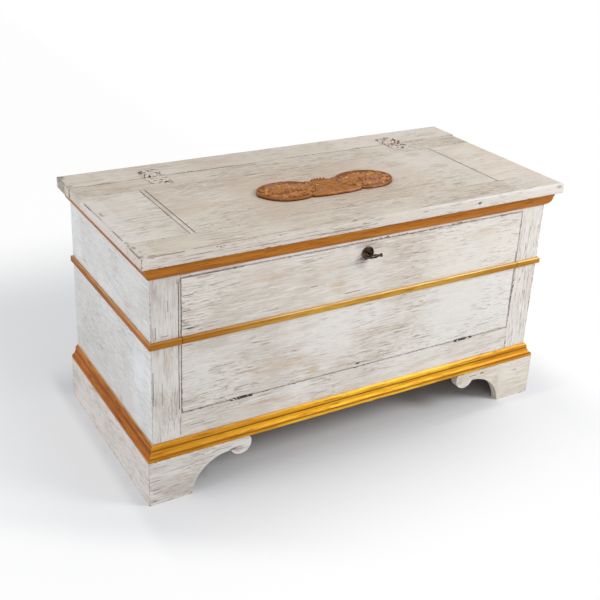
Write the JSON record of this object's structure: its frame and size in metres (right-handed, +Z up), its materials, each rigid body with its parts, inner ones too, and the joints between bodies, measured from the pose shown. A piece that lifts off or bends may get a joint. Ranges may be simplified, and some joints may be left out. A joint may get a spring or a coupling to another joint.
{
  "type": "storage chest",
  "caption": "Painted blanket chest with gilt mouldings, a carved gilt ornament, a hinged lid, a fall front with a lock, and bracket feet with scrolls",
  "frame": {"origin": "on the floor under the middle of the chest: the centre of the bottom face of its bounding box", "axes": "+X to the right along the front, +Y from the front to the back, +Z up"},
  "size_m": [1.266, 0.604, 0.6903],
  "materials": {
    "painted_wood": "matte",
    "bare_wood": "matte",
    "gilt_wood": "satin",
    "painted_iron": "matte",
    "dark_iron": "matte",
    "dark_bronze": "satin"
  },
  "bodies": {
    "case": {"back_board_lower": "bare_wood", "back_board_upper": "bare_wood", "base_moulding_front": "gilt_wood", "base_moulding_left": "gilt_wood", "base_moulding_right": "gilt_wood", "bottom_board_front": "bare_wood", "bottom_board_rear": "bare_wood", "bracket_foot_left": "painted_wood", "bracket_foot_right": "painted_wood", "case_screws": "dark_iron", "cleat_left": "bare_wood", "cleat_right": "bare_wood", "corner_block_left": "bare_wood", "corner_block_right": "bare_wood", "flap_hinge_fixed_left": "dark_iron", "flap_hinge_fixed_right": "dark_iron", "flap_hinge_pins": "dark_iron", "flap_stop_left": "bare_wood", "flap_stop_right": "bare_wood", "front_bottom_rail": "painted_wood", "front_stile_left": "painted_wood", "front_stile_right": "painted_wood", "front_top_rail": "painted_wood", "hinge_strip": "painted_wood", "lid_hinge_fixed_left": "painted_iron", "lid_hinge_fixed_right": "painted_iron", "lid_hinge_pins": "painted_iron", "mid_moulding_left": "gilt_wood", "mid_moulding_right": "gilt_wood", "mid_moulding_stile_left": "gilt_wood", "mid_moulding_stile_right": "gilt_wood", "middle_bearer": "bare_wood", "plinth_back": "bare_wood", "plinth_side_left": "painted_wood", "plinth_side_right": "painted_wood", "side_board_left": "painted_wood", "side_board_right": "painted_wood", "strike_plate": "dark_iron", "strip_mouldings": "gilt_wood"},
    "lid": {"lid_front_rail": "painted_wood", "lid_rear_rail": "painted_wood", "lid_end_left": "painted_wood", "lid_end_right": "painted_wood", "lid_panel": "painted_wood", "lid_moulding_front": "gilt_wood", "lid_moulding_left": "gilt_wood", "lid_moulding_right": "gilt_wood", "lid_ornament": "gilt_wood", "lid_hinge_moving_left": "painted_iron", "lid_hinge_moving_right": "painted_iron", "lid_screws": "painted_iron"},
    "flap": {"front_flap": "painted_wood", "mid_moulding_flap": "gilt_wood", "flap_hinge_moving_left": "dark_iron", "flap_hinge_moving_right": "dark_iron", "flap_screws": "dark_iron", "lock_case": "dark_iron", "escutcheon_rose": "dark_bronze"},
    "key": {"key": "dark_bronze"},
    "bolt": {"lock_bolt": "dark_iron"}
  },
  "joints": [
    {"name": "lid_hinge", "type": "hinge", "parent": "case", "child": "lid", "pos_m": [0, 0.20025, 0.6858], "axis": [-1, 0, 0], "range_deg": [0, 100]},
    {"name": "flap_hinge", "type": "hinge", "parent": "case", "child": "flap", "pos_m": [0, -0.269, 0.235], "axis": [1, 0, 0], "range_deg": [0, 90]},
    {"name": "key_turn", "type": "hinge", "parent": "flap", "child": "key", "pos_m": [0, -0.268, 0.571], "axis": [0, -1, 0], "range_deg": [0, 90]},
    {"name": "bolt_slide", "type": "slide", "parent": "flap", "child": "bolt", "axis": [0, 0, 1], "range_m": [0, 0.012]}
  ],
  "couplings": [
    {"joint": "bolt_slide", "follows": "key_turn", "m_per_rad": 0.00763}
  ]
}
